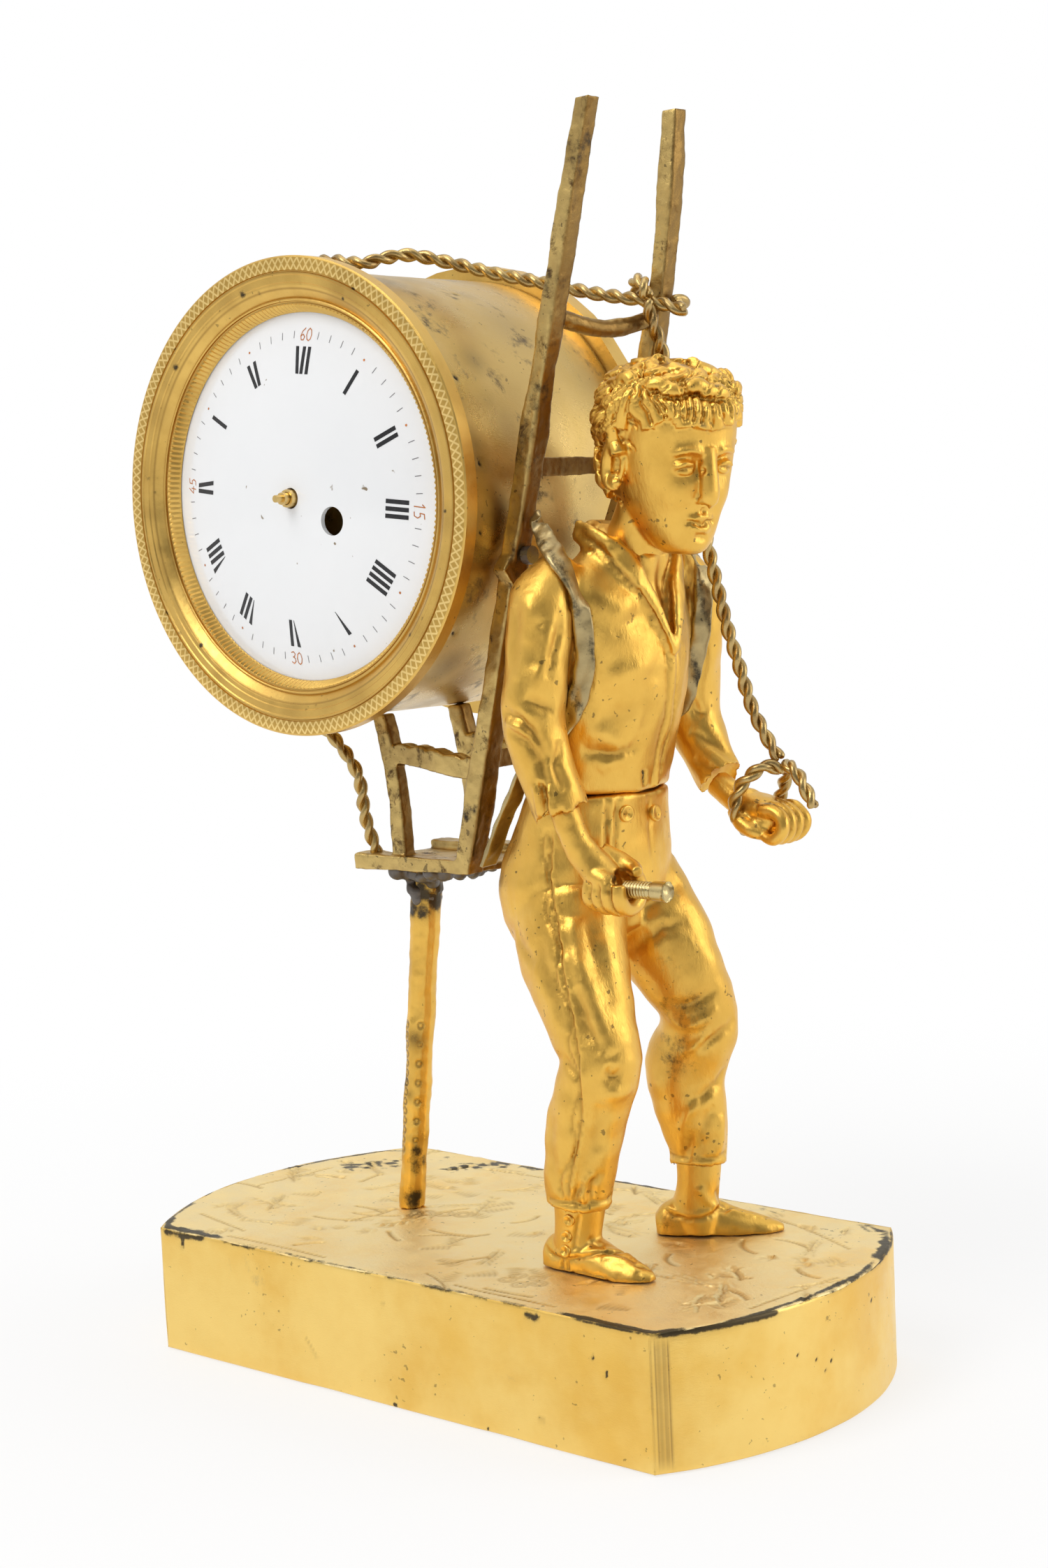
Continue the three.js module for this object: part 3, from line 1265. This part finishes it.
function buildFigure() {
  const half = seatGap / 2;
  const shoulder = shoulderShare * figureHeight;
  const neckZ = baseHeight + neckShare * figureHeight;
  const up = point(0, 0, 1);
  const down = point(0, 0, -1);

  let torso = figureLimb(torsoShares, bodySides);
  torso = trim(torso, point(0, 1, 0), point(0, -(shoulder - half), 0));
  torso = trim(torso, point(0, -1, 0), point(0, shoulder - half, 0));
  torso = trim(torso, down, point(0, 0, neckZ - half));
  const waistZ = baseHeight + waistShare * figureHeight;
  torso = trim(torso, up, point(0, 0, waistZ + half));
  addPiece('jacket', torso, 'gilt');

  const rightArm = trim(figureLimb(rightArmShares), point(0, -1, 0), point(0, -(shoulder + half), 0));
  addPiece('right_sleeve', rightArm, 'gilt');
  const leftArm = trim(figureLimb(leftArmShares), point(0, 1, 0), point(0, shoulder + half, 0));
  addPiece('left_sleeve', leftArm, 'gilt');

  const skull = headShape(skullShares, bodySides);
  const hair = headShape(hairShares, bodySides);
  const nose = headShape(noseShares.slice().reverse(), 8);
  const ears = [-1, 1].map((side) => headShape(earShares.slice().reverse(), 8, side * earSideShare));
  const head = placeHead(join(skull, hair, nose, ...ears));
  const neck = figureLimb(neckShares);
  addPiece('head', trim(join(head, neck), up, point(0, 0, neckZ + half)), 'gilt');

  const legs = join(figureLimb(pelvisShares.slice().reverse(), bodySides),
    figureLimb(rightLegShares.slice().reverse()), figureLimb(leftLegShares.slice().reverse()));
  addPiece('trousers', trim(legs, down, point(0, 0, waistZ - half)), 'gilt');

  addPiece('right_hand', handBelow(rightArmShares, rightHandShares), 'gilt');
  addPiece('left_hand', handBelow(leftArmShares, leftHandShares), 'gilt');
  buildShoe('right_shoe', rightAnkleShares, figureSpot.rightFoot, 0);
  buildShoe('left_shoe', leftAnkleShares, figureSpot.leftFoot, leftFootTurn);
  buildStump();
}

// Shoes with their gaiters, each cut flat where it stands and with the stud that holds it
const leftFootTurn = 0.62;
const footForwardShare = 0.022;

function buildShoe(name, ankleShares, spot, turn) {
  const floor = baseHeight + seatGap;
  const rings = footShares.map(([along, width, height]) => ring(
    point(along * figureHeight, 0, 0), point(0, 0, 1), point(0, -1, 0),
    height * figureHeight, width * figureHeight, 12, 1 / 4));
  const [x, y] = figurePlace(spot[0] - footForwardShare * Math.cos(turn) + 0, spot[1], 0);
  const foot = skin(rings).rotateZ(turn).translate(x, y, floor);
  const ankle = figureLimb(ankleShares.slice().reverse(), 12);
  const [studX, studY] = figurePlace(spot[0], spot[1], 0);
  const shoe = trim(join(foot, ankle), point(0, 0, 1), point(0, 0, floor));
  addPiece(name, join(shoe, fixingStud(studX, studY, floor + studRadius)), 'gilt');
}

// Broken stump of the stick in the right hand
const stumpRadius = 1.85;
const stumpLength = 11.5;

function buildStump() {
  const last = rightHandShares[rightHandShares.length - 1];
  const [x, y, z] = figurePlace(...last);
  const start = x + last[4] * figureHeight * (4 / 7);
  addPiece('held_stump', rodBetween(
    point(start, y, z), point(start + stumpLength, y, z), stumpRadius, 12), 'tarnished');
}

// Straps: strips that run over the shoulders from the lugs and back under the arms
function strip(places, across) {
  const rings = places.map((place, index) => {
    const before = places[Math.max(index - 1, 0)];
    const after = places[Math.min(index + 1, places.length - 1)];
    const along = new THREE.Vector3().subVectors(after, before).normalize();
    const side = across.clone().addScaledVector(along, -across.dot(along)).normalize();
    const face = new THREE.Vector3().crossVectors(side, along).normalize();
    return ring(place, face, side, bandThickness / 2, bandWidth / 2, 8, frameSquareness);
  });
  return skin(rings);
}

const strapLeaveHeight = 209;
const shoulderStrapShares = [
  [-0.061, 0.074, 0.842],
  [-0.043, 0.087, 0.827],
  [-0.019, 0.102, 0.811],
  [0.007, 0.108, 0.791],
  [0.022, 0.107, 0.766],
  [0.026, 0.100, 0.739],
  [0.026, 0.097, 0.709],
  [0.025, 0.096, 0.678],
  [0.017, 0.096, 0.647],
  [0.005, 0.096, 0.624],
];
const leftShoulderAheadShare = 0.018;

function buildStraps() {
  for (const [name, side, ahead] of [
    ['right_shoulder_strap', -1, 0], ['left_shoulder_strap', 1, leftShoulderAheadShare]]) {
    const route = shoulderStrapShares.map(([x, y, z]) => point(...figurePlace(x + ahead, side * y, z)));
    addPiece(name, strip(route, point(0, side, 0)), 'strap');
  }
}

// Lower strap from the foot of the near upright to the small of the boy's back
const lowerStrapShares = [
  [-0.166, -0.066, 0.447],
  [-0.142, -0.066, 0.494],
  [-0.120, -0.066, 0.530],
  [-0.106, -0.064, 0.558],
];

function buildLowerStrap() {
  const route = lowerStrapShares.map((place) => point(...figurePlace(...place)));
  addPiece('lower_strap', strip(route, point(0, -1, 0)), 'strap');
}

// Rope: the route's points are chosen by hand
const drumRopeSteps = 34;
const handRopeSteps = 14;
const knotRopeSteps = 16;
const loopRopeSteps = 18;

function ropeAlong(places, steps) {
  const route = new THREE.CatmullRomCurve3(places, false, 'centripetal');
  const section = roundShape(ropeRadius, ropeSides);
  return new THREE.ExtrudeGeometry(section, { steps, bevelEnabled: false, extrudePath: route });
}

function buildRope() {
  const wrap = drumBodyRadius + ropeRadius + seatGap * 3;
  const wrapY = bezelBack + ropeRadius * 5;
  const places = [
    point(-30, -14, 129.8), point(-30.3, -16.5, 136.8), point(-31, -19, 149),
  ];
  const wrapStart = (-Math.PI * 17) / 32;
  const wrapEnd = (-Math.PI * 23) / 16;
  const wrapSteps = 12;
  for (let step = 0; step <= wrapSteps; step += 1) {
    const angle = wrapStart + ((wrapEnd - wrapStart) * step) / wrapSteps;
    places.push(point(drumX + wrap * Math.cos(angle), wrapY, drumZ + wrap * Math.sin(angle)));
  }
  places.push(
    point(-29, -20, 273.9), point(-18.8, -18, 272.4), point(-15.8, -14, 273.4), point(-12.3, -8, 274.2),
    point(-5.4, -2, 272.1), point(6.5, 2, 268.3), point(19, 4.8, 265), point(30.5, 7.6, 261.8),
    point(40, 9.4, 259.7), point(46, 10.5, 258.6), point(50.5, 11, 257.2), point(56.3, 11.2, 255.4));
  addPiece('drum_rope', ropeAlong(places, drumRopeSteps), 'rope');

  const lead = [
    point(48.5, 7.3, 258.2), point(48.7, 8.1, 254), point(48.9, 9.9, 249.5), point(48.6, 13, 244),
    point(49.4, 17.8, 236), point(50.6, 20.2, 222), point(53.3, 20, 202), point(55.4, 20.2, 192),
    point(57.2, 21.5, 181), point(59.3, 22.6, 172.2),
    point(61.7, 24, 161.8), point(65.5, 24.8, 154), point(68.2, 25.2, 149.6),
  ];
  addPiece('hand_rope', ropeAlong(lead, handRopeSteps), 'rope');
}

// Knot: a turn round the far upright and over the rope that comes from the drum
function buildKnot() {
  const places = [
    point(50.4, 15.6, 258.4), point(49.4, 19.6, 258), point(45.3, 21.3, 258.2), point(40.9, 19.7, 258.8),
    point(39.6, 16.2, 259.8), point(40.4, 12.9, 262.6), point(44.2, 9.8, 263.4), point(47.4, 7.7, 261.6),
    point(48.2, 7.2, 259),
  ];
  addPiece('rope_knot', ropeAlong(places, knotRopeSteps), 'rope');
}

// Loop of the same rope round the left palm, open where its two ends cross
function buildHandLoop() {
  const [, palmY, palmZ] = figurePlace(...leftHandShares[2]);
  const places = [
    point(65, palmY - 4.5, palmZ + 8.5), point(62, palmY - 7.5, palmZ + 3),
    point(60, palmY - 6.5, palmZ - 4), point(61, palmY, palmZ - 7.5),
    point(63.5, palmY + 6.5, palmZ - 5), point(66, palmY + 8.2, palmZ + 1),
    point(70, palmY + 5, palmZ + 7), point(77, palmY + 1, palmZ + 3.5),
  ];
  addPiece('hand_loop', ropeAlong(places, loopRopeSteps), 'rope');
}

buildBase();
buildFixings();
buildColumn();
buildFrame();
buildCase();
buildRearDoor();
buildDial();
buildPlates();
buildTrain();
buildClick();
buildMotionWork();
buildPendulum();
buildFigure();
buildStraps();
buildLowerStrap();
buildRope();
buildKnot();
buildHandLoop();

export default clock;
